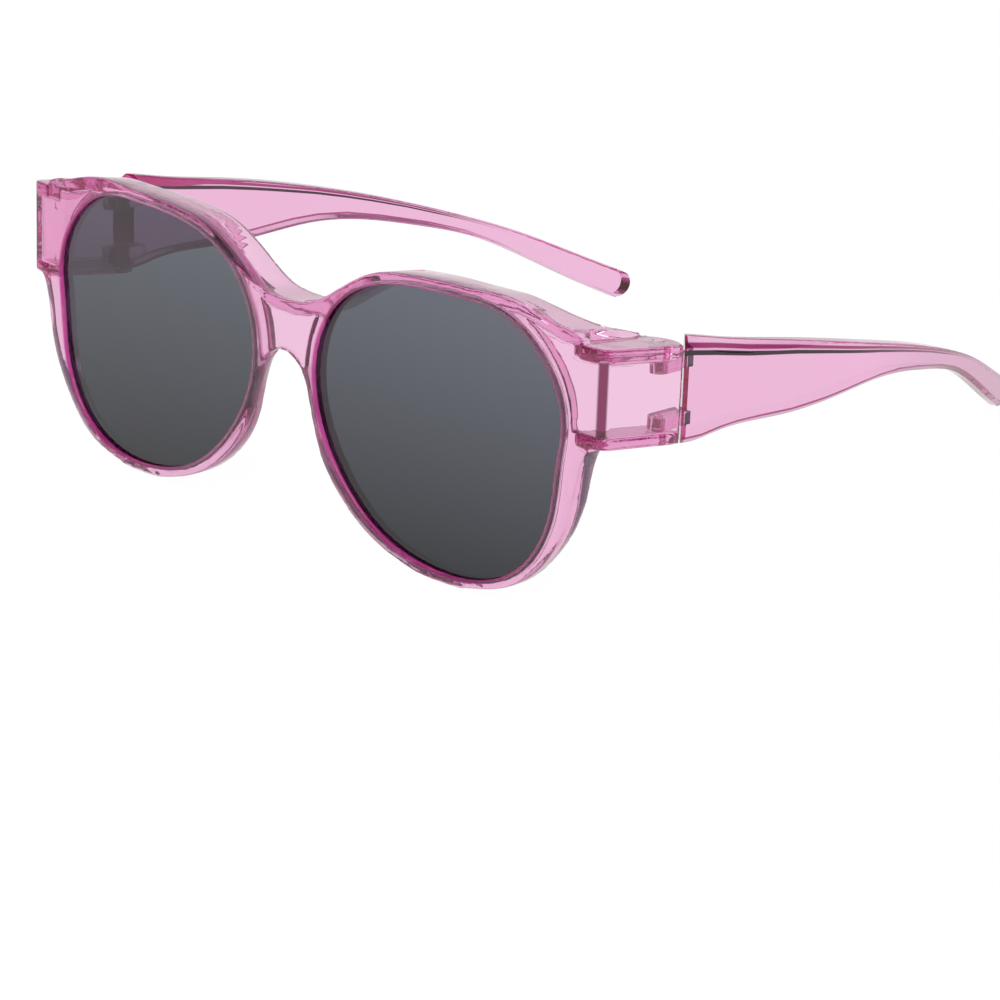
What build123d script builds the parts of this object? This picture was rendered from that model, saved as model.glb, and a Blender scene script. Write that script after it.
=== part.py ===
from build123d import *
import math
import os

os.makedirs("parts", exist_ok=True)

# Fitover sunglasses, in millimetres. The front faces -Y, the temples run towards +Y, +X is the
# wearer's left and +Z is up. Everything is modelled in the front's own upright frame, and then
# leaned back to the pose in which the glasses stand on their rims and temple tips.

# Lens openings
lens_width = 57.8
lens_height = 50.2
lens_gap = 16.6

# Rims, plate and walls
rim_width = 2.0
rim_band = 2.3
rim_band_shift = 1.0
rim_depth = 4.2
plate = 2.0
wall = 1.3
front_radius = 800.0
corner_radius = 1.2
inner_corner_radius = 0.5

# Brow shelf, bridge and nose
bridge_top_share = 0.6375
bridge_low_share = 0.251
shelf_depth = 9.4
shelf_thickness = 2.2
shelf_inner_radius = 13.0
brow_slope_share = 0.1
shelf_end_slope_share = 0.21
nose_flare = 1.0
flare_low = 17.0
flare_clearance = 0.3
arch_rise_share = 0.3

# Endpiece boxes
endpiece_width = 9.2
endpiece_top_share = 0.9243
endpiece_low_share = 0.2231
roof_thickness = 2.3
floor_thickness = 1.6
step_start = 4.9
step_depth = 8.0
shoulder_inset = 1.9
ledge_overhang = 0.35
ledge_start = 5.2
ledge_corner_radius = 2.6
tongue_radius = 4.0
hinge_y = 20.9
wall_reach = 2.5
slope_share = 0.13
brow_end_share = 0.35

# Lenses in their grooves
lens_thickness = 1.5
lens_setback = 1.0
groove_depth = 0.8
lens_clearance = 0.05

# Hinges
pin_radius = 0.8
pin_running_gap = 0.05
pin_recess = 0.2
knuckle_radius = 1.9
knuckle_height = 2.2
lower_knuckle_height = 2.3
knuckle_gap = 0.15
boss_rise = 0.1
temple_gap = 0.2
root_length = 2.6

# Temples
temple_reach = 127.0
temple_height_share = 1.0227
temple_thickness = 3.4
temple_rise = 1.1
tip_inset = 22.4
tip_drop = 35.3
top_bevel_height = 3.0
top_bevel_width = 2.4
low_bevel = 0.9
bevel_share = 0.36
bevel_fade_share = 0.4
bevel_tail_share = 0.13
tip_radius = 3.0
tip_slope_share = 0.49
temple_edge_radius = 0.35

# Round ejector marks in the back of the plate, beside the endpiece boxes
mark_radius = 0.9
mark_depth = 0.2
mark_inset = 6.9
mark_from_top = 4.25
mark_from_low = 2.75

# Cuts run this far past what they cut
overrun = 20.0

# Points round a curve drawn beside an opening, and rounds of the search for the lean
outline_steps = 40
lean_steps = 4

# Places that follow from the sizes
half_w = lens_width / 2
half_h = lens_height / 2
bridge_top = bridge_top_share * half_h
bridge_low = bridge_low_share * half_h
endpiece_top = endpiece_top_share * half_h
endpiece_low = endpiece_low_share * half_h
temple_height = temple_height_share * (endpiece_top - endpiece_low)
lens_x = lens_gap / 2 + half_w
outer_w = half_w + rim_width
outer_h = half_h + rim_width
half_width = lens_x + half_w + endpiece_width
tongue_x = half_width + ledge_overhang
hinge_x = tongue_x - tongue_radius
tall = lens_height + overrun
backward = (0, 1, -slope_share)

# Outline of a lens opening, anticlockwise from its outer side, as shares of its half sizes
opening_shares = (
    (1.0, 0.14),
    (0.917, 0.618),
    (0.52, 0.966),
    (0.15, 1.0),
    (-0.3, 0.972),
    (-0.66, 0.84),
    (-0.865, 0.637),
    (-1.0, 0.2),
    (-0.913, -0.26),
    (-0.775, -0.506),
    (-0.408, -0.86),
    (0.04, -1.0),
    (0.526, -0.936),
    (0.744, -0.777),
    (0.94, -0.378),
)

# Top edge of the front from the bridge outwards, as shares of the rim's outer half sizes
brow_shares = (
    (-0.925, 0.646),
    (-0.809, 0.723),
    (-0.689, 0.812),
    (-0.45, 0.948),
    (-0.25, 0.989),
    (0.0, 1.011),
    (0.3, 1.022),
    (0.641, 1.013),
    (0.932, 0.935),
    (1.075, 0.897),
)

# Lower edge of the front from the endpiece to the lowest point, as shares of the same
side_shares = (
    (1.085, 0.0),
    (1.05, -0.21),
    (0.975, -0.44),
    (0.885, -0.6),
    (0.76, -0.765),
    (0.57, -0.908),
    (0.3, -0.985),
)

# Lower edge from the lowest point up to the nose, as shares of the same
nose_side_shares = (
    (-0.15, -0.968),
    (-0.41, -0.87),
    (-0.62, -0.725),
    (-0.74, -0.6),
    (-0.86, -0.425),
    (-0.94, -0.18),
    (-0.985, -0.01),
)

# Round of the nose arch, as shares of half the lens gap and of the bridge's lower edge
arch_shares = (
    (0.6, 0.56),
    (0.4, 0.83),
    (0.2, 0.97),
)

# Stations of the temple from the hinge to the tip: reach, sideways place, drop of the top edge
# and height, as shares of the temple's reach, the tip's inset and drop, and the temple's height
station_shares = (
    (0.0, 0.0, 0.0, 1.0),
    (0.1, -0.035, 0.0595, 0.92),
    (0.22, -0.06, 0.139, 0.77),
    (0.34, -0.06, 0.221, 0.585),
    (0.43, -0.02, 0.292, 0.41),
    (0.51, 0.06, 0.36, 0.315),
    (0.61, 0.205, 0.459, 0.258),
    (0.72, 0.4, 0.584, 0.225),
    (0.82, 0.594, 0.72, 0.285),
    (0.91, 0.786, 0.868, 0.337),
    (0.955, 0.893, 0.942, 0.352),
    (1.0, 1.0, 1.02, 0.357),
)


def sag(x):
    return front_radius - math.sqrt(front_radius**2 - x**2)


def rim_points(shares):
    return [(lens_x + a * outer_w, b * outer_h) for a, b in shares]


def front_view(face):
    # Stands a face drawn with x across and y up on the plane of the front
    return Plane.XZ * face


def back_from(face, deep, along=(0, 1, 0)):
    return extrude(face, deep, dir=along)


def up_and_down(face):
    return Pos(0, 0, -tall) * extrude(face, 2 * tall)


def mirrored_pair(shape):
    return mirror(shape, about=Plane.YZ) + shape


def slab(front, back):
    # Space between two copies of the front's curve, set back by front and by back
    x = half_width + overrun
    near = ThreePointArc((-x, sag(x) + front), (0, front), (x, sag(x) + front))
    far = ThreePointArc((x, sag(x) + back), (0, back), (-x, sag(x) + back))
    sides = [Line(near @ 1, far @ 0), Line(far @ 1, near @ 0)]
    return up_and_down(make_face(Curve() + [near, far] + sides))


def block(inset_front, inset_side, radius):
    # Space inside the curved front and the two sides, with rounded corners between them
    x = half_width - inset_side
    y = sag(x) + inset_front
    deep = hinge_y + overrun
    near = ThreePointArc((-x, y), (0, inset_front), (x, y))
    sides = [Line((x, y), (x, deep)), Line((x, deep), (-x, deep)), Line((-x, deep), (-x, y))]
    face = make_face(Curve() + [near] + sides)
    corners = face.vertices().sort_by(Axis.Y)[:2]
    return up_and_down(fillet(corners, radius))


def opening(grow=0.0):
    # A lens opening, or a curve round it at the distance given by grow
    points = [(lens_x + a * half_w, b * half_h) for a, b in opening_shares]
    curve = Spline(*points, periodic=True)
    if grow:
        moved = []
        for step in range(outline_steps):
            place, way = curve @ (step / outline_steps), curve % (step / outline_steps)
            moved.append((place.X + grow * way.Y, place.Y - grow * way.X))
        curve = Spline(*moved, periodic=True)
    return front_view(make_face(curve))


def brow_slope(x):
    # The shelf slopes down to the back, more and more towards the endpieces
    share = x / half_width
    return brow_slope_share + (shelf_end_slope_share - brow_slope_share) * share * share


def under_brow(drop=0.0):
    # Everything in the right half that lies below the top of the front and its shelf
    def across(y):
        points = []
        for x, z in [(0, bridge_top)] + rim_points(brow_shares):
            points.append((x, z - drop - brow_slope(x) * y))
        top = Spline(*points, tangents=[(1, 0), (1, -brow_end_share)])
        corners = [top @ 1, (points[-1][0], -tall), (0, -tall), top @ 0]
        sides = [Line(a, b) for a, b in zip(corners, corners[1:])]
        return Pos(0, y, 0) * front_view(make_face(Curve() + [top] + sides))

    return loft([across(-overrun), across(hinge_y + overrun)], ruled=True)


def under_roof():
    # Everything below the level roof of the endpiece box
    inner = hinge_x - tongue_radius
    middle = (inner + overrun / 2, (endpiece_top - tall) / 2)
    face = front_view(Pos(*middle) * Rectangle(overrun, endpiece_top + tall))
    return back_from(face, hinge_y + overrun, backward)


def nose_points():
    arch = [(a * lens_gap / 2, b * bridge_low) for a, b in arch_shares]
    return rim_points(nose_side_shares) + arch + [(0, bridge_low)]


def front_outline():
    # The right half of the front seen from ahead, open above and without its lens opening
    shoulder = (half_width - shoulder_inset, endpiece_low)
    lowest = (lens_x + rim_width / 2, -outer_h)
    side = Spline(shoulder, *rim_points(side_shares), lowest, tangents=[(-1, -1), (-1, 0)])
    nose = Spline(lowest, *nose_points(), tangents=[(-1, 0), (-1, 0)])
    corners = [nose @ 1, (0, tall), (tongue_x, tall), (tongue_x, endpiece_low), shoulder]
    straight = [Line(a, b) for a, b in zip(corners, corners[1:])]
    return front_view(make_face(Curve() + [side, nose] + straight))


def tongue_band(low, thickness):
    # Edge of the box's roof or floor, seen from ahead
    across = tongue_x - (hinge_x - tongue_radius)
    middle = (hinge_x, low + thickness / 2)
    face = front_view(Pos(*middle) * Rectangle(across, thickness))
    return back_from(face, hinge_y + overrun, backward)


def ledge_edge():
    # Outer edge of a ledge in plan, from where it leaves the front's curve to the hinge
    start = half_width - ledge_start
    first = (start, sag(start))
    second = (start + ledge_overhang, sag(start) - ledge_overhang)
    corner = (tongue_x, sag(tongue_x) - ledge_overhang)
    radii = [ledge_overhang / 2, ledge_corner_radius]
    return FilletPolyline(first, second, corner, (tongue_x, hinge_y), radius=radii)


def tongue_arc():
    inner = hinge_x - tongue_radius
    return ThreePointArc((tongue_x, hinge_y), (hinge_x, hinge_y + tongue_radius), (inner, hinge_y))


def shelf_plan():
    # Brow shelf in plan: along the front, back along the step down to the roof, and round inside
    inner = hinge_x - tongue_radius
    start = half_width - step_start
    front = ThreePointArc((0, 0), (start / 2, sag(start / 2)), (start, sag(start)))
    radius = min(shelf_inner_radius, hinge_y + tongue_radius / 2 - shelf_depth)
    corner = (inner, shelf_depth + radius)
    step = [Line(front @ 1, (inner, step_depth)), Line((inner, step_depth), corner)]
    around = TangentArc(corner, (inner - radius, shelf_depth), tangent=(0, -1))
    rear = Line(around @ 1, (0, shelf_depth))
    return make_face(Curve() + [front] + step + [around, rear, Line(rear @ 1, front @ 0)])


def tongue_plan():
    # Roof or floor of the box in plan, back from inside the front plate
    edge, end = ledge_edge(), tongue_arc()
    inner = hinge_x - tongue_radius
    start = half_width - ledge_start
    near = (inner, sag(start) + plate / 2)
    front = [Line(near, (start, near[1])), Line((start, near[1]), edge @ 0)]
    return make_face(Curve() + front + [edge, end, Line(end @ 1, near)])


def nose_wedge():
    # Opens the nose arch out towards the back; in front of the plate's back it clears the front
    def arch(y):
        widen = nose_flare * (y - plate) / (rim_depth - plate)
        points = []
        for x, z in nose_points()[2:]:
            share = min(1, 1 + z / flare_low)
            aside = widen * share if share > 0 else -flare_clearance
            rise = widen * arch_rise_share * (z > 0)
            points.append((x + aside * (x > 0), z + rise))
        curve = Spline(*points)
        corners = [curve @ 1, (0, -tall), (points[0][0], -tall), curve @ 0]
        sides = [Line(a, b) for a, b in zip(corners, corners[1:])]
        return Pos(0, y, 0) * front_view(make_face(Curve() + [curve] + sides))

    return loft([arch(0), arch(2 * rim_depth)], ruled=True)


def ejector_marks():
    x = half_width - mark_inset
    marks = Pos(x, endpiece_top - mark_from_top) * Circle(mark_radius)
    marks += Pos(x, endpiece_low + mark_from_low) * Circle(mark_radius)
    return back_from(front_view(marks), overrun) & slab(plate - mark_depth, plate + mark_depth)


# Heights at the hinge, where the faces round the knuckles are level
roof_low = endpiece_top - roof_thickness - slope_share * (hinge_y + tongue_radius)
roof_top = endpiece_top - slope_share * (hinge_y + pin_radius)
floor_top = endpiece_low + floor_thickness + boss_rise - slope_share * (hinge_y - knuckle_radius)
floor_low = endpiece_low - slope_share * (hinge_y - pin_radius)
upper_top = roof_low - knuckle_gap
upper_low = upper_top - knuckle_height
lower_low = floor_top + knuckle_gap
lower_top = lower_low + lower_knuckle_height
knuckles = ((upper_low, upper_top), (lower_low, lower_top))


def rod(radius, low, high):
    return Pos(hinge_x, hinge_y, low) * extrude(Circle(radius), high - low)


def make_lens():
    inside = slab(lens_setback, lens_setback + lens_thickness)
    return back_from(opening(groove_depth), overrun) & inside


def make_front():
    outline = front_outline()
    solid = block(0, 0, corner_radius)
    shell = solid - block(plate, wall, inner_corner_radius)
    panel = shell & back_from(outline, corner_radius + plate + sag(half_width))
    across = 2 * wall
    side = Pos(half_width, tall / 2 + endpiece_low) * Rectangle(across, tall)
    side_wall = shell & back_from(front_view(side), hinge_y + overrun, backward)
    side_wall &= up_and_down(Pos(half_width, 0) * Rectangle(across, 2 * (hinge_y + wall_reach)))
    wing = front_view(Pos(half_width, endpiece_low - tall / 2) * Rectangle(2 * half_w, tall))
    shifted = Pos(-rim_band_shift, 0, 0) * opening(rim_band)
    band = (outline & shifted) + (outline & wing)
    rims = back_from(band, overrun) & slab(0, rim_depth) & solid
    half = (panel + side_wall + rims) & (under_brow() + under_roof())
    half += (under_brow() - under_brow(shelf_thickness)) & up_and_down(shelf_plan())
    tongue = up_and_down(tongue_plan())
    half += tongue_band(endpiece_top - roof_thickness, roof_thickness) & tongue
    half += tongue_band(endpiece_low, floor_thickness) & tongue
    half += rod(knuckle_radius, roof_low, roof_low + roof_thickness)
    half += rod(knuckle_radius, floor_top - floor_thickness, floor_top)
    half -= nose_wedge()
    half -= back_from(opening(), overrun) & slab(-overrun, rim_depth + lens_clearance)
    groove = slab(lens_setback - lens_clearance, lens_setback + lens_thickness + lens_clearance)
    half -= back_from(opening(groove_depth + lens_clearance), overrun) & groove
    half -= rod(pin_radius, floor_low - overrun, roof_top + overrun)
    half -= ejector_marks()
    return mirrored_pair(half)


def temple_section(reach, sideways, drop, height):
    # Across the temple: upright sides, a bevel along the top that fades out towards the tip, and
    # a small one along the bottom
    high = endpiece_top - slope_share * hinge_y + temple_rise - drop * tip_drop
    low = high - height * temple_height
    inner = half_width - temple_thickness - sideways * tip_inset
    outer = inner + temple_thickness
    fade = max(bevel_tail_share, 1 - reach / bevel_fade_share)
    bevel = min(fade * top_bevel_height, bevel_share * (high - low))
    across = top_bevel_width * bevel / top_bevel_height
    small = min(low_bevel, bevel_share * (high - low))
    corners = [(inner, high), (outer - across, high), (outer, high - bevel), (outer, low + small)]
    corners += [(outer - small, low), (inner, low)]
    face = make_face(Polyline(*corners, close=True))
    face = fillet(face.vertices(), temple_edge_radius)
    return Pos(0, hinge_y + reach * temple_reach, 0) * front_view(face)


def tip_end():
    # What is cut away round the tip's end, seen from the side
    last_height = station_shares[-1][3] * temple_height
    high = endpiece_top - slope_share * hinge_y + temple_rise - station_shares[-1][2] * tip_drop
    y = hinge_y + temple_reach - tip_radius
    z = high + tip_radius * tip_slope_share - last_height / 2
    behind = Pos(y + tip_radius, z) * Rectangle(2 * tip_radius, 2 * overrun)
    face = behind - Pos(y, z) * Circle(tip_radius)
    return extrude(Plane.YZ * face, 2 * half_width)


def make_temple():
    # The blade, hollowed in front to turn about the box's round ends and cut aslant between them,
    # and its two knuckles
    body = loft([temple_section(*station) for station in station_shares])
    turning = tongue_radius + temple_gap
    body -= rod(turning, upper_low, tall)
    body -= rod(turning, -tall, lower_top)
    clear = wall_reach + temple_gap
    inner = hinge_x - tongue_radius
    slant = [(inner, 0), (tongue_x, 0), (tongue_x, clear), (half_width, clear)]
    slant.append((inner, clear + half_width - inner))
    body -= up_and_down(Pos(0, hinge_y) * make_face(Polyline(*slant, close=True)))
    body -= tip_end()
    deep = turning + root_length
    for low, high in knuckles:
        arm = Pos(0, deep / 2) * Rectangle(2 * knuckle_radius, deep)
        flat = Circle(knuckle_radius) + arm
        body += Pos(hinge_x, hinge_y, low) * extrude(flat, high - low)
        body -= rod(pin_radius + pin_running_gap, low, high)
    return body


def make_pins():
    high = rod(pin_radius, upper_low, roof_top - pin_recess)
    low = rod(pin_radius, floor_low + pin_recess, lower_top)
    return {"upper": high, "lower": low}


# One side is made and mirrored for the other
nodes = {"front_frame": make_front(), "lens_left": make_lens(), "temple_left": make_temple()}
for name, pin in make_pins().items():
    nodes["hinge_pin_left_" + name] = pin
for name in list(nodes):
    if "left" in name:
        nodes[name.replace("left", "right")] = mirror(nodes[name], about=Plane.YZ)

# Lean that sets the rims and the temple tips down on one level
lean = 0.0
for step in range(lean_steps):
    lows = []
    for name in ("front_frame", "temple_left"):
        turned = Rot(X=-lean) * nodes[name]
        lows.append(turned.bounding_box().min.Z)
    lean += math.degrees((lows[1] - lows[0]) / temple_reach)

# The origin is under the middle of the whole, on the level it stands on
boxes = [(Rot(X=-lean) * nodes[name]).bounding_box() for name in ("front_frame", "temple_left")]
front_y = min(box.min.Y for box in boxes)
back_y = max(box.max.Y for box in boxes)
level = min(box.min.Z for box in boxes)
stand = Pos(0, -(front_y + back_y) / 2, -level) * Rot(X=-lean)

for name, shape in nodes.items():
    export_step(stand * shape, "parts/" + name + ".step")
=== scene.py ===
import math

import bmesh
import bpy
import numpy
from mathutils import Matrix, Vector
from mathutils.bvhtree import BVHTree
from mathutils.geometry import convex_hull_2d
from mathutils.interpolate import poly_3d_calc


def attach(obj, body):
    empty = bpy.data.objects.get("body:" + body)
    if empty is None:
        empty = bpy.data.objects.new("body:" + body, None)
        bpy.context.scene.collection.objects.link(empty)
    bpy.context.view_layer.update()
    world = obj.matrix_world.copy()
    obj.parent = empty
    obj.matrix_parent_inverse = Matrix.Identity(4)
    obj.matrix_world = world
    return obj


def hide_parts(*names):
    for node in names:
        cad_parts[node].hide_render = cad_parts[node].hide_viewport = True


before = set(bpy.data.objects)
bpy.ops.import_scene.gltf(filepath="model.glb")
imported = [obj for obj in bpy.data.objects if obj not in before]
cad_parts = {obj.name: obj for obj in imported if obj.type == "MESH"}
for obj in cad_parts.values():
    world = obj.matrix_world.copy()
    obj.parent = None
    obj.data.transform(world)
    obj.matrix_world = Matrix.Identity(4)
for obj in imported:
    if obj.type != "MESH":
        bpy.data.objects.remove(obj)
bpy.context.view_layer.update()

# Lengths are in metres and angles in degrees. A camera's lens and sensor are in millimetres.
MM = 0.001

# Camera, solved in the front's own frame, which leans in the row frame
camera_azimuth = 47.493
camera_elevation = 16.675
camera_roll = -1.118
camera_distance = 664.165 * MM
camera_lens = 132.16
camera_sensor = 36.0
camera_near = 0.01
camera_far = 100.0
picture_side = 1000
aim_pixel = (279.3, 388.1)
front_lean = 3.17489
front_shift = (0.0, -72.9237 * MM, 27.3453 * MM)
own_back = (0.0, 1.0, 0.0)
own_up = (0.0, 0.0, 1.0)

# Skin of the moulded front: its grain, how it is softened, the share of its faces that is kept, the
# angles off the CAD's faces between which its own normals take over, and how often they are evened
moulding_grain = 0.18 * MM
moulding_softening = 16
softening_share = 0.5
moulding_kept_share = 0.225
face_angle = 6.0
edge_angle = 16.0
edge_rounding = 4
shortest_normal = 1e-6

# Rounding of the rims below the brow, by the distance outwards from the lens's edge
rim_rounding = 8
rim_round_end = 3.2 * MM
rim_round_ease = 0.8 * MM
rim_softening = 16
rim_soft_from = 0.8 * MM
rim_soft_to = 7.0 * MM
rim_soft_ease = 0.5 * MM
brow_level = 6.0 * MM
brow_ease = 1.0 * MM
lens_outline_digits = 6

# Rounded edges of the lenses and the pins
lens_edge_radius = 0.1 * MM
pin_edge_radius = 0.12 * MM
edge_segments = 3
crease_angle = 28.0
flat_angle = 0.05
farthest_share = 0.45
weld_distance = 0.0008 * MM

# Pink plastic: its surface, its tint seen square on, the deep magenta painted shade it takes at a
# glance, and what a millimetre absorbs
plastic_ior = 1.5
plastic_roughness = 0.02
plastic_pale = (0.88, 0.60, 0.76)
plastic_glancing_shade = (0.16, 0.01, 0.07)
glancing_shade_from = 0.45
glancing_shade_to = 0.95
plastic_absorbed_per_mm = (0.015, 0.07, 0.033)
plastic_bounces = 32

# The rounded upright corner where the front turns back along the side, with a near-black painted shade
corner_painted_shade = (0.06, 0.002, 0.015)
corner_x_from = 73.7 * MM
corner_x_to = 74.3 * MM
corner_y_from = 5.0 * MM
corner_y_to = 4.4 * MM
corner_low_from = 6.9 * MM
corner_low_to = 7.4 * MM
corner_high_from = 20.8 * MM
corner_high_to = 20.2 * MM

# Walls and lips of the rims, with a deep magenta painted shade and made half clear: how far a face has
# to turn from the front, up or down, and the distances outwards from the lens's edge and back from the
# front
rim_wall_painted_shade = (0.52, 0.035, 0.27)
rim_wall_clear = 0.5
wall_turn_from = 0.15
wall_turn_to = 0.65
wall_up_end = 0.6
wall_up_ease = 0.3
under_turn_from = 0.3
under_turn_ease = 0.4
rim_wall_reach = 4.5 * MM
rim_wall_fade = 1.0 * MM
lip_to = -0.5 * MM
lip_end = -0.1 * MM
bore_to = 0.4 * MM
bore_end = 1.1 * MM
outer_wall_share = 0.1
under_wall_share = 0.75
rim_depth_from = 4.5 * MM
rim_depth_to = 3.9 * MM

# Bands of painted shade, dark magenta and near black, along the top of a temple, from its edge down:
# how far they reach at the hinge, where they would run out, and their places as shares
bands_height = 3.3 * MM
bands_run_out = 122.0 * MM
bands_thinnest = 0.25
bands_fade_from = 85.0 * MM
bands_fade_to = 105.0 * MM
hinge_y = 20.9 * MM
painted_shade_bands = (
    (0.0, plastic_pale),
    (0.25, plastic_pale),
    (0.31, (0.13, 0.001, 0.035)),
    (0.54, (0.13, 0.001, 0.035)),
    (0.59, plastic_pale),
    (0.64, plastic_pale),
    (0.68, (0.0004, 0.0, 0.0001)),
    (0.94, (0.0004, 0.0, 0.0001)),
    (0.98, plastic_pale),
)

# Line of painted shade along a temple's lower edge, by the height above it
low_line_painted_shade = (0.2, 0.008, 0.07)
low_line_from = 0.85 * MM
low_line_to = 1.15 * MM
low_line_ease = 0.12 * MM

# How a temple's edges are traced for its bands
blade_start = 24.5 * MM
edge_facing = 0.85
edge_points = 16
edge_digits = 4
new_point = (0.5, 0.5)

# Grey lens, with painted shade that darkens it towards its bottom
lens_ior = 1.5
lens_roughness = 0.02
lens_absorbed_per_mm = (1.30, 1.25, 1.12)
lens_low = 3.0 * MM
lens_high = 50.0 * MM
lens_bottom_painted_shade = (0.10, 0.10, 0.12)

# Floor, room and lamp, and the floor's painted pink glow under the plastic
white = (1.0, 1.0, 1.0)
floor_side = 6.0
floor_white = (0.93, 0.93, 0.93)
background_strength = 1.03
background_share = 0.95
floor_dims_from = 0.1
floor_dims_to = 0.38
floor_steep_painted_glow = (0.62, 0.16, 0.38)
straight_bounces = 2.5
room_tint = (0.3, 0.19, 0.25)
backdrop_side = (-0.737, 0.676, 0.0)
backdrop_from = 0.1
backdrop_to = 0.6
key_place = (0.6, -0.7, 1.1)
key_aim = (0.0, 0.0, 0.03)
key_size = 0.9
key_power = 9.0

# Sockets of a colour mix, several of which share a name
mix_share = 0
mix_first = 6
mix_second = 7
mix_result = 2


def own_to_row():
    """Turns the front's own frame into the row frame."""
    lean = Matrix.Rotation(math.radians(-front_lean), 4, "X")
    return Matrix.Translation(front_shift) @ lean


def make_camera():
    """Camera at the photograph's viewing angle, aimed so that the front's middle lands on its pixel."""
    azimuth = math.radians(camera_azimuth)
    elevation = math.radians(camera_elevation)
    back = Vector((
        math.sin(azimuth) * math.cos(elevation),
        -math.cos(azimuth) * math.cos(elevation),
        math.sin(elevation),
    ))
    right = Vector((math.cos(azimuth), math.sin(azimuth), 0.0))
    up = back.cross(right)
    look = Matrix((right, up, back))
    focal = camera_lens / camera_sensor * picture_side
    half = picture_side / 2
    yaw = math.atan((aim_pixel[0] - half) / focal)
    pitch = math.atan(-(aim_pixel[1] - half) / focal)
    roll = math.radians(camera_roll)
    turn_yaw = Matrix.Rotation(-yaw, 3, "Y")
    turn_pitch = Matrix.Rotation(pitch, 3, "X")
    turn_roll = Matrix.Rotation(roll, 3, "Z")
    world_to_camera = turn_roll @ turn_pitch @ turn_yaw @ look
    placed = Matrix.Translation(back * camera_distance) @ world_to_camera.transposed().to_4x4()
    data = bpy.data.cameras.new("photo_camera")
    data.lens = camera_lens
    data.sensor_width = camera_sensor
    data.clip_start = camera_near
    data.clip_end = camera_far
    camera = bpy.data.objects.new("photo_camera", data)
    bpy.context.scene.collection.objects.link(camera)
    camera.matrix_world = own_to_row() @ placed
    bpy.context.scene.camera = camera


def new_material(name):
    """Empty node material with its output."""
    material = bpy.data.materials.new(name)
    material.use_nodes = True
    material.node_tree.nodes.clear()
    output = material.node_tree.nodes.new("ShaderNodeOutputMaterial")
    return material, material.node_tree, output


def clear_shader(tree, roughness, ior):
    """Shader of a clear body."""
    shader = tree.nodes.new("ShaderNodeBsdfPrincipled")
    shader.inputs["Roughness"].default_value = roughness
    shader.inputs["IOR"].default_value = ior
    shader.inputs["Transmission Weight"].default_value = 1.0
    return shader


def clear_body(tree, output, shader, tint, absorbed_per_mm):
    """Gives a clear body its tint and fills it with what a millimetre takes of each colour."""
    tree.links.new(tint, shader.inputs["Base Color"])
    tree.links.new(shader.outputs["BSDF"], output.inputs["Surface"])
    volume = tree.nodes.new("ShaderNodeVolumeAbsorption")
    densest = max(absorbed_per_mm)
    volume.inputs["Color"].default_value = [1 - share / densest for share in absorbed_per_mm] + [1.0]
    volume.inputs["Density"].default_value = densest / MM
    tree.links.new(volume.outputs["Volume"], output.inputs["Volume"])


def eased(tree, value, start, end, first, last, way="SMOOTHSTEP"):
    """Carries a value that runs from start to end over from first to last, smoothly or evenly."""
    ease = tree.nodes.new("ShaderNodeMapRange")
    ease.interpolation_type = way
    ease.inputs["From Min"].default_value = start
    ease.inputs["From Max"].default_value = end
    ease.inputs["To Min"].default_value = first
    ease.inputs["To Max"].default_value = last
    tree.links.new(value, ease.inputs["Value"])
    return ease.outputs["Result"]


def worked(tree, way, first, second=0.0):
    """Result of a sum on a value and another value or a number."""
    work = tree.nodes.new("ShaderNodeMath")
    work.operation = way
    tree.links.new(first, work.inputs[0])
    if isinstance(second, float):
        work.inputs[1].default_value = second
    else:
        tree.links.new(second, work.inputs[1])
    return work.outputs[0]


def product(tree, factors):
    """Product of several values."""
    total = factors[0]
    for factor in factors[1:]:
        total = worked(tree, "MULTIPLY", total, factor)
    return total


def mixed(tree, share, first, second):
    """Colour between two, each one a plain colour or an earlier mix."""
    mix = tree.nodes.new("ShaderNodeMix")
    mix.data_type = "RGBA"
    tree.links.new(share, mix.inputs[mix_share])
    for place, colour in ((mix_first, first), (mix_second, second)):
        if isinstance(colour, tuple):
            mix.inputs[place].default_value = (*colour, 1.0)
        else:
            tree.links.new(colour, mix.inputs[place])
    return mix.outputs[mix_result]


def coordinate(tree, kind, axis):
    """One coordinate of a point, on the object or on its UV map."""
    split = tree.nodes.new("ShaderNodeSeparateXYZ")
    tree.links.new(tree.nodes.new("ShaderNodeTexCoord").outputs[kind], split.inputs[0])
    return split.outputs[axis]


def reach_along(tree, place, way):
    """How far a place or a direction reaches along a way."""
    dot = tree.nodes.new("ShaderNodeVectorMath")
    dot.operation = "DOT_PRODUCT"
    dot.inputs[1].default_value = way
    tree.links.new(place, dot.inputs[0])
    return dot.outputs["Value"]


def along_front(tree, direction):
    """How far a point lies from the front's own origin along its own leaning Y or Z."""
    place = tree.nodes.new("ShaderNodeTexCoord").outputs["Object"]
    way = own_to_row().to_3x3() @ Vector(direction)
    return worked(tree, "SUBTRACT", reach_along(tree, place, way), way.dot(Vector(front_shift)))


def corner_shade_mask(tree):
    """One on the upright corners at the ends of the front, between the ledges, where painted shade
    goes, and zero elsewhere.
    """
    aside = worked(tree, "ABSOLUTE", coordinate(tree, "Object", "X"))
    back = along_front(tree, own_back)
    height = along_front(tree, own_up)
    return product(tree, [
        eased(tree, aside, corner_x_from, corner_x_to, 0.0, 1.0),
        eased(tree, back, corner_y_to, corner_y_from, 1.0, 0.0),
        eased(tree, height, corner_low_from, corner_low_to, 0.0, 1.0),
        eased(tree, height, corner_high_to, corner_high_from, 1.0, 0.0),
    ])


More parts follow.
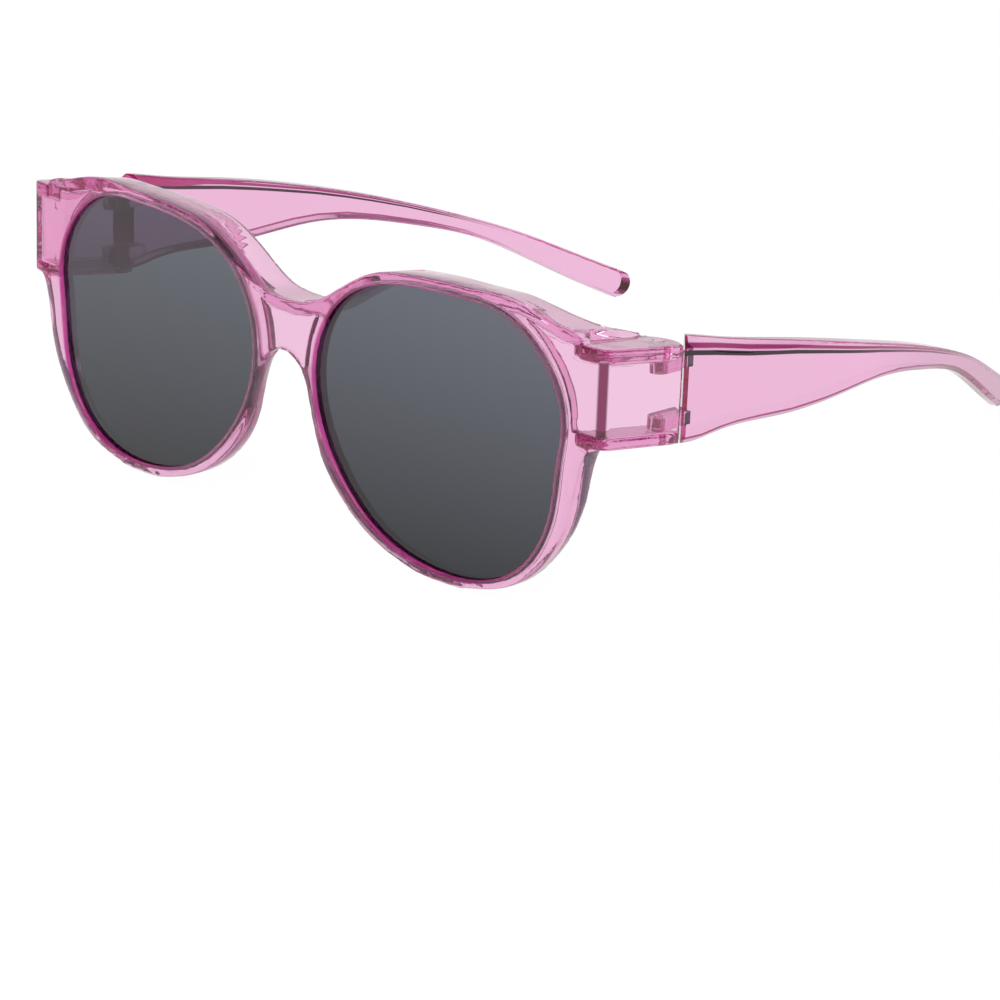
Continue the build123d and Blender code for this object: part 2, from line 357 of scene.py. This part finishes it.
def edge_line(mesh, side):
    """A temple's top (1) or lower (-1) edge in the front's own frame: places and heights."""
    row_to_own = own_to_row().inverted()
    lean = row_to_own.to_3x3()
    found = {}
    for face in mesh.polygons:
        if (lean @ face.normal).z * side > edge_facing:
            for corner in face.vertices:
                point = row_to_own @ mesh.vertices[corner].co
                if point.y > blade_start:
                    found[round(point.y, edge_digits)] = point.z
    line = sorted(found.items())
    picks = sorted({round(pick * (len(line) - 1) / (edge_points - 1)) for pick in range(edge_points)})
    return [line[pick] for pick in picks]


def inside_edge(tree, mesh, side):
    """How far a point of a temple lies inside its top (1) or lower (-1) edge."""
    line = edge_line(mesh, side)
    start, end = line[0][0], line[-1][0]
    low = min(height for reach, height in line)
    high = max(height for reach, height in line)
    curve = tree.nodes.new("ShaderNodeFloatCurve")
    points = curve.mapping.curves[0].points
    while len(points) < len(line):
        points.new(*new_point)
    for point, (reach, height) in zip(points, line):
        point.location = ((reach - start) / (end - start), (height - low) / (high - low))
        point.handle_type = "VECTOR"
    curve.mapping.update()
    back = eased(tree, along_front(tree, own_back), start, end, 0.0, 1.0, "LINEAR")
    tree.links.new(back, curve.inputs["Value"])
    edge = eased(tree, curve.outputs["Value"], 0.0, 1.0, low, high, "LINEAR")
    height = along_front(tree, own_up)
    if side > 0:
        return worked(tree, "SUBTRACT", edge, height)
    return worked(tree, "SUBTRACT", height, edge)


def bevel_painted_shade(tree, mesh):
    """Bands of painted shade along a temple's bevelled edges and a line of it along its lower edge,
    which fade out towards its tip.
    """
    back = along_front(tree, own_back)
    outer_side = coordinate(tree, "UV", "X")
    fade_from = hinge_y + bands_fade_from
    fade_to = hinge_y + bands_fade_to
    reach_end = hinge_y + (1 - bands_thinnest) * bands_run_out
    lowest = bands_thinnest * bands_height
    height = eased(tree, back, hinge_y, reach_end, bands_height, lowest, "LINEAR")
    down = inside_edge(tree, mesh, 1)
    bands = tree.nodes.new("ShaderNodeValToRGB")
    stops = bands.color_ramp.elements
    while len(stops) < len(painted_shade_bands):
        stops.new(1.0)
    for stop, (share, tint) in zip(stops, painted_shade_bands):
        stop.position = share
        stop.color = (*tint, 1.0)
    tree.links.new(worked(tree, "DIVIDE", down, height), bands.inputs[0])
    gone = eased(tree, back, fade_from, fade_to, 0.0, 1.0)
    top = mixed(tree, gone, bands.outputs["Color"], plastic_pale)
    top = mixed(tree, outer_side, plastic_pale, top)
    up = inside_edge(tree, mesh, -1)
    # Painted shade along the lower edge, on the outer side
    line = product(tree, [
        eased(tree, up, low_line_from - low_line_ease, low_line_from, 0.0, 1.0),
        eased(tree, up, low_line_to, low_line_to + low_line_ease, 1.0, 0.0),
        eased(tree, back, fade_from, fade_to, 1.0, 0.0),
        outer_side,
    ])
    return mixed(tree, line, top, low_line_painted_shade)


def pink_plastic(name, place):
    """Clear pink moulded plastic: pale where seen square on, with a deep magenta painted shade at a
    glance, as at its rounded edges.
    """
    material, tree, output = new_material(name)
    shader = clear_shader(tree, plastic_roughness, plastic_ior)
    glance = tree.nodes.new("ShaderNodeLayerWeight").outputs["Facing"]
    # Painted shade: the tint deepens towards magenta as the surface turns away from the view
    glance_shade = eased(tree, glance, glancing_shade_from, glancing_shade_to, 0.0, 1.0)
    flat = plastic_pale
    if place == "temple":
        flat = bevel_painted_shade(tree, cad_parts["temple_left"].data)
    tint = mixed(tree, glance_shade, flat, plastic_glancing_shade)
    if place == "front":
        # Deep magenta painted shade on the rims' walls and lips, which are made half clear so that it
        # shows
        rim_wall = coordinate(tree, "UV", "X")
        tint = mixed(tree, rim_wall, tint, rim_wall_painted_shade)
        clear = eased(tree, rim_wall, 0.0, 1.0, 1.0, rim_wall_clear, "LINEAR")
        tree.links.new(clear, shader.inputs["Transmission Weight"])
        # Near-black painted shade on the upright corners
        tint = mixed(tree, corner_shade_mask(tree), tint, corner_painted_shade)
    clear_body(tree, output, shader, tint, plastic_absorbed_per_mm)
    return material


def grey_lens():
    """Dark grey tinted lens, polished, with painted shade that makes it darker towards its bottom."""
    material, tree, output = new_material("grey_tinted_lens")
    shader = clear_shader(tree, lens_roughness, lens_ior)
    height = eased(tree, coordinate(tree, "Object", "Z"), lens_low, lens_high, 0.0, 1.0, "LINEAR")
    clear_body(tree, output, shader, mixed(tree, height, lens_bottom_painted_shade, white), lens_absorbed_per_mm)
    return material


def seen_directly(tree, path):
    """One for rays from the camera, off gloss and through clear material, zero for the rest."""
    first = worked(tree, "MAXIMUM", path["Is Camera Ray"], path["Is Glossy Ray"])
    return worked(tree, "MAXIMUM", first, path["Is Transmission Ray"])


def white_floor():
    """White floor that keeps a soft shadow, with a painted pink glow where light comes down on it out
    of many bounces.
    """
    material, tree, output = new_material("white_floor")
    diffuse = tree.nodes.new("ShaderNodeBsdfDiffuse")
    diffuse.inputs["Color"].default_value = (*floor_white, 1.0)
    glance = tree.nodes.new("ShaderNodeLayerWeight").outputs["Facing"]
    path = tree.nodes.new("ShaderNodeLightPath").outputs
    # Painted pink glow for rays that reach the floor steeply after many bounces
    slant = eased(tree, glance, floor_dims_from, floor_dims_to, 0.0, 1.0)
    steep = mixed(tree, slant, floor_steep_painted_glow, white)
    turned = worked(tree, "GREATER_THAN", path["Ray Depth"], straight_bounces)
    glow = tree.nodes.new("ShaderNodeEmission")
    tree.links.new(mixed(tree, turned, white, steep), glow.inputs["Color"])
    glow.inputs["Strength"].default_value = background_strength
    mix = tree.nodes.new("ShaderNodeMixShader")
    tree.links.new(worked(tree, "MULTIPLY", seen_directly(tree, path), background_share), mix.inputs[0])
    tree.links.new(diffuse.outputs[0], mix.inputs[1])
    tree.links.new(glow.outputs[0], mix.inputs[2])
    tree.links.new(mix.outputs[0], output.inputs["Surface"])
    return material


def studio_world():
    """Room that the camera sees white, and that lights in white from the backdrop's side only."""
    world = bpy.data.worlds.new("studio")
    bpy.context.scene.world = world
    world.use_nodes = True
    tree = world.node_tree
    tree.nodes.clear()
    output = tree.nodes.new("ShaderNodeOutputWorld")
    direction = tree.nodes.new("ShaderNodeTexCoord").outputs["Generated"]
    toward = reach_along(tree, direction, backdrop_side)
    share = eased(tree, toward, backdrop_from, backdrop_to, 0.0, 1.0)
    lit = tree.nodes.new("ShaderNodeBackground")
    tree.links.new(mixed(tree, share, room_tint, white), lit.inputs["Color"])
    shown = tree.nodes.new("ShaderNodeBackground")
    shown.inputs["Color"].default_value = (*white, 1.0)
    shown.inputs["Strength"].default_value = background_strength
    mix = tree.nodes.new("ShaderNodeMixShader")
    tree.links.new(tree.nodes.new("ShaderNodeLightPath").outputs["Is Camera Ray"], mix.inputs[0])
    tree.links.new(lit.outputs[0], mix.inputs[1])
    tree.links.new(shown.outputs[0], mix.inputs[2])
    tree.links.new(mix.outputs[0], output.inputs["Surface"])


def make_floor():
    """Flat white floor under the rims and the temple tips."""
    mesh = bpy.data.meshes.new("floor")
    half = floor_side / 2
    corners = [(-half, -half, 0.0), (half, -half, 0.0), (half, half, 0.0), (-half, half, 0.0)]
    mesh.from_pydata(corners, [], [(0, 1, 2, 3)])
    mesh.materials.append(white_floor())
    floor = bpy.data.objects.new("floor", mesh)
    bpy.context.scene.collection.objects.link(floor)


def soft_lamp(name, place, aim, size, power):
    """Square soft lamp aimed at a point."""
    data = bpy.data.lights.new(name, "AREA")
    data.shape = "SQUARE"
    data.size = size
    data.energy = power
    lamp = bpy.data.objects.new(name, data)
    bpy.context.scene.collection.objects.link(lamp)
    toward = Vector(aim) - Vector(place)
    turn = toward.to_track_quat("-Z", "Y").to_matrix().to_4x4()
    lamp.matrix_world = Matrix.Translation(place) @ turn


def merged_copy(node):
    """The CAD node's mesh with its loose triangles joined and its flat faces made whole."""
    shape = bmesh.new()
    shape.from_mesh(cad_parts[node].data)
    bmesh.ops.remove_doubles(shape, verts=shape.verts, dist=weld_distance)
    bmesh.ops.dissolve_degenerate(shape, edges=shape.edges, dist=weld_distance)
    bmesh.ops.dissolve_limit(
        shape, angle_limit=math.radians(flat_angle), verts=shape.verts, edges=shape.edges
    )
    mesh = bpy.data.meshes.new(node + "_shape")
    shape.to_mesh(mesh)
    shape.free()
    for name in ("custom_normal", "sharp_edge", "sharp_face"):
        layer = mesh.attributes.get(name)
        if layer:
            mesh.attributes.remove(layer)
    return mesh


def new_piece(name, mesh, material):
    """Object with a mesh and one material."""
    mesh.materials.clear()
    mesh.materials.append(material)
    piece = bpy.data.objects.new(name, mesh)
    bpy.context.scene.collection.objects.link(piece)
    return piece


def settled(mesh, surface, farthest):
    """Brings back the few points that rounding threw off the surface where edges crowd together."""
    for point in mesh.vertices:
        place, normal, face, distance = surface.find_nearest(point.co)
        if distance > farthest:
            point.co = place


def finish_mesh(piece):
    """Turns the piece's modifiers into its plain mesh."""
    depsgraph = bpy.context.evaluated_depsgraph_get()
    finished = bpy.data.meshes.new_from_object(piece.evaluated_get(depsgraph))
    piece.modifiers.clear()
    piece.data = finished


def moulded(name, node, body, material, edge_radius):
    """A piece with the node's shape and rounded moulded edges, which stands for the node."""
    mesh = merged_copy(node)
    surface = BVHTree.FromPolygons(
        [point.co for point in mesh.vertices], [list(face.vertices) for face in mesh.polygons]
    )
    mesh.shade_smooth()
    piece = new_piece(name, mesh, material)
    rounding = piece.modifiers.new("rounded_edges", "BEVEL")
    rounding.width = edge_radius
    rounding.segments = edge_segments
    rounding.limit_method = "ANGLE"
    rounding.angle_limit = math.radians(crease_angle)
    rounding.use_clamp_overlap = False
    finish_mesh(piece)
    settled(piece.data, surface, farthest_share * edge_radius)
    piece.modifiers.new("even_shading", "WEIGHTED_NORMAL")
    finish_mesh(piece)
    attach(piece, body)
    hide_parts(node)


def share_of(span, length):
    """Spans as shares of a length, kept between zero and one."""
    return numpy.clip(span / length, 0.0, 1.0)


def unit(directions):
    """Directions brought to a length of one."""
    return directions / numpy.maximum(shortest_normal, numpy.linalg.norm(directions, axis=1))[:, None]


def edge_pairs(mesh):
    """The two points of each edge."""
    return numpy.array([tuple(edge.vertices) for edge in mesh.edges])


def gathered(start, values, edges):
    """Each point's start with the values of its neighbours added."""
    total = start.copy()
    numpy.add.at(total, edges[:, 0], values[edges[:, 1]])
    numpy.add.at(total, edges[:, 1], values[edges[:, 0]])
    return total


def averaged(normals, edges, rounds):
    """Directions evened out between neighbouring points."""
    for step in range(rounds):
        normals = unit(gathered(normals, normals, edges))
    return normals


def even_normals(mesh, shape, out):
    """Gives a softened skin the CAD's smooth normals wherever it still follows the CAD's faces."""
    shape.calc_loop_triangles()
    points = [point.co for point in shape.vertices]
    faces = [tuple(face.vertices) for face in shape.loop_triangles]
    corners = [tuple(face.loops) for face in shape.loop_triangles]
    smooth = [normal.vector.copy() for normal in shape.corner_normals]
    surface = BVHTree.FromPolygons(points, faces, all_triangles=True)
    normals = []
    for point, own in zip(mesh.vertices, mesh.vertex_normals):
        place, flat, index, distance = surface.find_nearest(point.co)
        shares = poly_3d_calc([points[corner] for corner in faces[index]], place)
        given = Vector()
        for share, corner in zip(shares, corners[index]):
            given += share * smooth[corner]
        turned = math.degrees(own.vector.angle(given, math.pi))
        kept = min(1.0, max(0.0, (turned - face_angle) / (edge_angle - face_angle)))
        normals.append(given.lerp(own.vector, kept).normalized())
    edges = edge_pairs(mesh)
    plain = averaged(numpy.array(normals), edges, edge_rounding)
    round_over = averaged(plain, edges, rim_rounding - edge_rounding)
    share = share_of(rim_round_end - out, rim_round_ease)[:, None]
    turned = unit(plain * (1 - share) + round_over * share)
    mesh.normals_split_custom_set_from_vertices([tuple(normal) for normal in turned])
    return turned


def out_from_lens(mesh):
    """How far each point lies outside the nearer lens's edge, back from the front, and up."""
    row_to_own = own_to_row().inverted()
    lens = [row_to_own @ point.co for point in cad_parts["lens_left"].data.vertices]
    outline = {(round(p.x, lens_outline_digits), round(p.z, lens_outline_digits)) for p in lens}
    flat = [Vector(pair) for pair in sorted(outline)]
    start = numpy.array([flat[corner] for corner in convex_hull_2d(flat)])
    end = numpy.roll(start, -1, axis=0)
    turn = numpy.sign((start[:, 0] * end[:, 1] - start[:, 1] * end[:, 0]).sum())
    own = numpy.array([tuple(row_to_own @ point.co) for point in mesh.vertices])
    points = numpy.column_stack((numpy.abs(own[:, 0]), own[:, 2]))
    nearest = numpy.full(len(points), numpy.inf)
    inside = numpy.ones(len(points), dtype=bool)
    for first, way in zip(start, end - start):
        offset = points - first
        share = numpy.clip(offset @ way / (way @ way), 0.0, 1.0)
        apart = offset - share[:, None] * way
        nearest = numpy.minimum(nearest, numpy.hypot(apart[:, 0], apart[:, 1]))
        inside &= (way[0] * offset[:, 1] - way[1] * offset[:, 0]) * turn >= 0
    return numpy.where(inside, -nearest, nearest), own[:, 1], own[:, 2]


def rounded_rims(mesh, out, height):
    """Rounds the outer edges of the rims below the brow."""
    points = numpy.array([tuple(point.co) for point in mesh.vertices])
    edges = edge_pairs(mesh)
    count = numpy.bincount(edges.ravel(), minlength=len(points))[:, None]
    share = share_of(out - rim_soft_from, rim_soft_ease)
    share *= share_of(rim_soft_to - out, rim_soft_ease)
    share *= share_of(brow_level - brow_ease - height, brow_ease)
    for step in range(rim_softening):
        middle = gathered(numpy.zeros_like(points), points, edges) / numpy.maximum(count, 1)
        points += (middle - points) * softening_share * share[:, None]
    mesh.vertices.foreach_set("co", points.ravel())
    mesh.update()


def map_rim_walls(mesh, out, deep, height, normals):
    """UV map that is one on the walls and lips of the rims, where painted shade goes, and zero
    elsewhere.
    """
    turn = own_to_row().to_3x3()
    back = numpy.abs(normals @ numpy.array(turn @ Vector(own_back)))
    up = normals @ numpy.array(turn @ Vector(own_up))
    wall = share_of(1 - back - wall_turn_from, wall_turn_to - wall_turn_from)
    wall *= share_of(wall_up_end - up, wall_up_ease)
    wall *= share_of(rim_wall_reach - out, rim_wall_fade)
    under = share_of(-up - under_turn_from, under_turn_ease)
    outer = outer_wall_share + (under_wall_share - outer_wall_share) * under
    outer *= share_of(brow_level - height, brow_ease)
    bore = share_of(bore_end - out, bore_end - bore_to)
    wall *= bore + (1 - bore) * outer
    lip = share_of(lip_end - out, lip_end - lip_to)
    share = numpy.maximum(wall, lip)
    share *= share_of(rim_depth_from - deep, rim_depth_from - rim_depth_to)
    layer = mesh.uv_layers.new(name="rim_walls")
    for loop, cell in zip(mesh.loops, layer.data):
        cell.uv = (share[loop.vertex_index], 0.0)


def cast_front(material):
    """The front as it comes out of its mould: every edge softened, every face even."""
    piece = new_piece("front_moulding", merged_copy("front_frame"), material)
    skin = piece.modifiers.new("even_skin", "REMESH")
    skin.mode = "VOXEL"
    skin.voxel_size = moulding_grain
    skin.use_smooth_shade = True
    soft = piece.modifiers.new("softened_edges", "SMOOTH")
    soft.factor = softening_share
    soft.iterations = moulding_softening
    light = piece.modifiers.new("fewer_faces", "DECIMATE")
    light.ratio = moulding_kept_share
    finish_mesh(piece)
    out, deep, height = out_from_lens(piece.data)
    rounded_rims(piece.data, out, height)
    normals = even_normals(piece.data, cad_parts["front_frame"].data, out)
    map_rim_walls(piece.data, out, deep, height, normals)
    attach(piece, "front")
    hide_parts("front_frame")


def dress_temple(side, material):
    """Dresses a temple, with a UV map that is one on its outer side and zero elsewhere."""
    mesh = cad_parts["temple_" + side].data
    mesh.materials.clear()
    mesh.materials.append(material)
    layer = mesh.uv_layers.new(name="outer_side")
    for face in mesh.polygons:
        outward = 1.0 if face.normal.x * face.center.x > 0 else 0.0
        for loop in face.loop_indices:
            layer.data[loop].uv = (outward, 0.0)


def dress_side(side, lens, temple, pin):
    """Dresses the lens, the temple and the two hinge pins of one side."""
    moulded(side + "_lens", "lens_" + side, "front", lens, lens_edge_radius)
    dress_temple(side, temple)
    for level in ("upper", "lower"):
        name = side + "_" + level + "_pin"
        node = "hinge_pin_" + side + "_" + level
        moulded(name, node, "front", pin, pin_edge_radius)


make_camera()
pin_plastic = pink_plastic("clear_pink_plastic", "pin")
temple_plastic = pink_plastic("clear_pink_temple", "temple")
lens_grey = grey_lens()
cast_front(pink_plastic("clear_pink_front", "front"))
for side in ("left", "right"):
    dress_side(side, lens_grey, temple_plastic, pin_plastic)

make_floor()
studio_world()
soft_lamp("key", key_place, key_aim, key_size, key_power)
scene = bpy.context.scene
scene.view_settings.view_transform = "Standard"
scene.cycles.max_bounces = plastic_bounces
scene.cycles.transmission_bounces = plastic_bounces
scene.cycles.glossy_bounces = plastic_bounces
